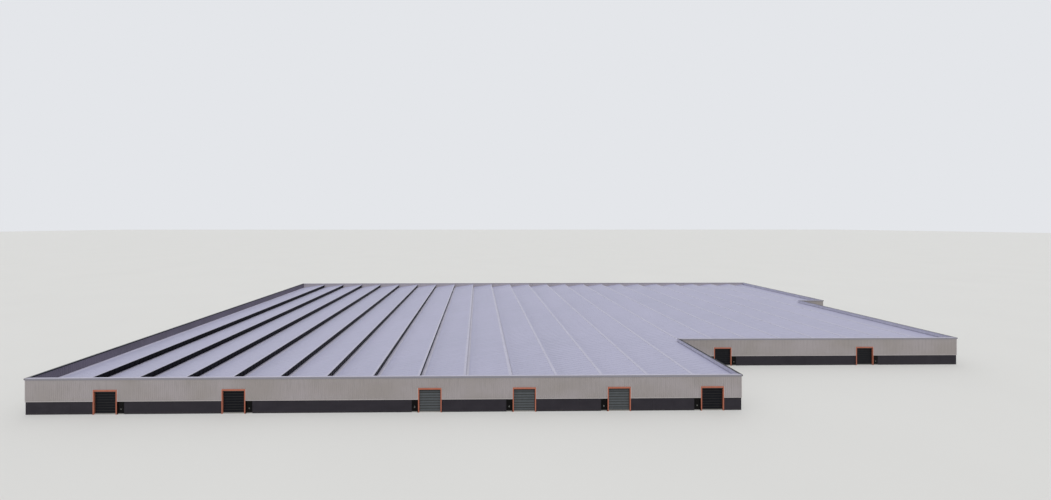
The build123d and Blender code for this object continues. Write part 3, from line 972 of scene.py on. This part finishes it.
seals = []
for node in doorSlots:
    for points in solidsOf(node):
        low, high = boxOf(points)
        width = sectional["seal"]
        front = low.y - sectional["sealProud"]
        back = low.y + sectional["sealLap"]
        runs = [
            ((low.x, front, low.z), (low.x + width, back, high.z)),
            ((high.x - width, front, low.z), (high.x, back, high.z)),
            ((low.x + width, front, high.z - width), (high.x - width, back, high.z)),
            ((low.x + width, front + mm, low.z), (high.x - width, back, low.z + width)),
        ]
        for start, end in runs:
            seal = addBlock("seal", start, end)
            bevelPiece(seal, sectional["sealBevel"])
            seals.append(seal)
finishPiece(joinPieces("doorway_seals", seals), "dark_door_panel", "seal")
print("vehicle doorways made:", len(lintels))


# Knobs, pressings and weather bars on the personnel doors

knobSet = {
    "plate": 22 * mm,
    "metal": 1.6 * mm,
    "plateBevel": 0.6 * mm,
    "neck": 2 * mm,
    "seat": 1 * mm,         # the neck starts inside the plate
    "reach": 5.5 * mm,
    "height": 85 * mm,
    "sides": 16,
    "profile": [(0.25, 1.0), (0.2, 2.0), (0.35, 1.1), (0.2, 0.7)],  # part of the reach, and widening
    "smooth": 50,
}


def makeKnob(middle, face, way):
    half = knobSet["plate"] / 2
    z = knobSet["height"]
    near, far = sorted((face, face + way * knobSet["metal"]))
    plate = addBlock("plate", (middle - half, near, z - half), (middle + half, far, z + half))
    bevelPiece(plate, knobSet["plateBevel"])
    deselectAll()
    bpy.ops.mesh.primitive_circle_add(
        vertices=knobSet["sides"], radius=knobSet["neck"], fill_type="NGON",
        location=(middle, face + way * knobSet["seat"], z), rotation=(math.pi / 2, 0, 0))
    knob = bpy.context.object
    applyPlace()
    startEdit(knob)
    bpy.ops.mesh.select_all(action="SELECT")
    reach = knobSet["reach"] - knobSet["seat"]
    for part, widening in knobSet["profile"]:
        extrudeBy(0, way * reach * part, 0)
        bpy.ops.transform.resize(value=(widening, 1, widening))
    endEdit()
    closeShape(knob)
    makeActive(knob)
    bpy.ops.object.shade_smooth_by_angle(angle=math.radians(knobSet["smooth"]))
    return joinPieces("knob", [plate, knob])


leafSheet = {
    "width": 86 * mm,
    "margin": 9 * mm,      # plain border round the pressed panels
    "lock": 14 * mm,       # half of the plain band behind the knob
    "pressed": 1.0 * mm,
    "sunk": 0.3 * mm,      # into the leaf
    "bevel": 0.9 * mm,
    "rim": 4 * mm,         # from a pressing's edge to its groove
    "groove": 0.9 * mm,
    "grooveDepth": 0.8 * mm,
    "bar": 5 * mm,         # weather bar along the foot, outside
    "barReach": 2.5 * mm,
    "barEnd": 3 * mm,      # clear at both ends
    "barLift": 2 * mm,
    "barBevel": 1.2 * mm,
}


def makePressings(start, end, bottom, top, face, way):
    edge = leafSheet["margin"]
    lock = knobSet["height"]
    near, far = sorted((face - way * leafSheet["sunk"], face + way * leafSheet["pressed"]))
    made = []
    for low, high in ((bottom + edge, lock - leafSheet["lock"]), (lock + leafSheet["lock"], top - edge)):
        panel = addBlock("pressing", (start + edge, near, low), (end - edge, far, high))
        bevelPiece(panel, leafSheet["bevel"])
        startEdit(panel)
        pickFaces(panel, lambda middle, normal: normal.y * way > 0.9)
        bpy.ops.mesh.inset(thickness=leafSheet["rim"], depth=0)
        bpy.ops.mesh.inset(thickness=leafSheet["groove"], depth=-leafSheet["grooveDepth"])
        endEdit()
        made.append(panel)
    return made


for joint in frame["joints"]:
    leaf = joint["child"]
    low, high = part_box(leaf)
    hinge = joint["pos_m"][0]
    free = high.x if abs(hinge - low.x) < abs(hinge - high.x) else low.x
    start, end = sorted((free, free + math.copysign(leafSheet["width"], hinge - free)))
    outside, inside = low.y + knobSet["reach"], high.y - knobSet["reach"]
    middle = (start + end) / 2
    knobs = [makeKnob(middle, outside, -1), makeKnob(middle, inside, 1)]
    finishPiece(joinPieces(f"{leaf}_knobs", knobs), "door_steel", "steel", body=leaf)
    sheet = makePressings(start, end, low.z, high.z, outside, -1)
    sheet += makePressings(start, end, low.z, high.z, inside, 1)
    clear = leafSheet["barEnd"]
    foot = low.z + leafSheet["barLift"]
    bar = addBlock("bar", (start + clear, outside - leafSheet["barReach"], foot),
                   (end - clear, outside + leafSheet["sunk"], foot + leafSheet["bar"]))
    bevelPiece(bar, leafSheet["barBevel"])
    finishPiece(joinPieces(f"{leaf}_sheet", sheet + [bar]), "door_steel", body=leaf)


# Floor, light and camera

stage = {"size": 400, "colour": "DCDCDA", "worn": "D8D8D6", "patch": 3, "backdrop": "E4E6EA",
         "world": 0.56, "sun": 1.59, "softness": 25, "elevation": 57.5, "azimuth": 7}


def makeFloor():
    deselectAll()
    bpy.ops.mesh.primitive_plane_add(size=stage["size"], location=(0, 0, 0))
    floor = bpy.context.object
    floor.name = "floor"
    material, tree, shader, place = startFinish("studio floor", {"Roughness": 0.9})
    colour = blend(tree, patches(tree, place, [stage["patch"]] * 3), stage["colour"], stage["worn"])
    tree.links.new(colour, shader.inputs["Base Color"])
    floor.data.materials.append(material)


def makeWorld():
    world = bpy.data.worlds.new("studio")
    bpy.context.scene.world = world
    world.use_nodes = True
    tree = world.node_tree
    light = tree.nodes["Background"]
    light.inputs["Color"].default_value = (1, 1, 1, 1)
    light.inputs["Strength"].default_value = stage["world"]
    backdrop = addNode(tree, "ShaderNodeBackground", {
        "Color": linearColour(stage["backdrop"]), "Strength": 1.0})
    path = addNode(tree, "ShaderNodeLightPath")
    seen = addNode(tree, "ShaderNodeMath", {"operation": "MAXIMUM"},
                   {0: path.outputs["Is Camera Ray"], 1: path.outputs["Is Glossy Ray"]})
    seen = addNode(tree, "ShaderNodeMath", {"operation": "MAXIMUM"},
                   {0: seen.outputs[0], 1: path.outputs["Is Transmission Ray"]})
    mixed = addNode(tree, "ShaderNodeMixShader", None,
                    {0: seen.outputs[0], 1: light.outputs[0], 2: backdrop.outputs[0]})
    tree.links.new(mixed.outputs[0], tree.nodes["World Output"].inputs[0])


def makeSun():
    deselectAll()
    bpy.ops.object.light_add(type="SUN", location=(0, -12, 10))
    sun = bpy.context.object
    sun.data.energy = stage["sun"]
    sun.data.angle = math.radians(stage["softness"])
    sun.rotation_euler = (math.radians(90 - stage["elevation"]), 0, math.radians(stage["azimuth"]))


makeFloor()
makeWorld()
makeSun()

view = {
    "place": (-2.182, -11.365, 3.184),
    "yaw": math.atan(5.2 / 376),  # the ridge lines meet 5.2 pixels aside, at a focal length of 376
    "lens": 12.88,
    "sensor": 36,
    "shiftX": 0.040,
    "shiftY": -0.0248,
    "reach": 1000,
}
deselectAll()
bpy.ops.object.camera_add(location=view["place"], rotation=(math.pi / 2, 0, -view["yaw"]))
camera = bpy.context.object
camera.data.lens = view["lens"]
camera.data.sensor_width = view["sensor"]
camera.data.shift_x = view["shiftX"]
camera.data.shift_y = view["shiftY"]
camera.data.clip_end = view["reach"]
bpy.context.scene.camera = camera
bpy.context.scene.view_settings.view_transform = "Standard"
print("floor, light and camera set")
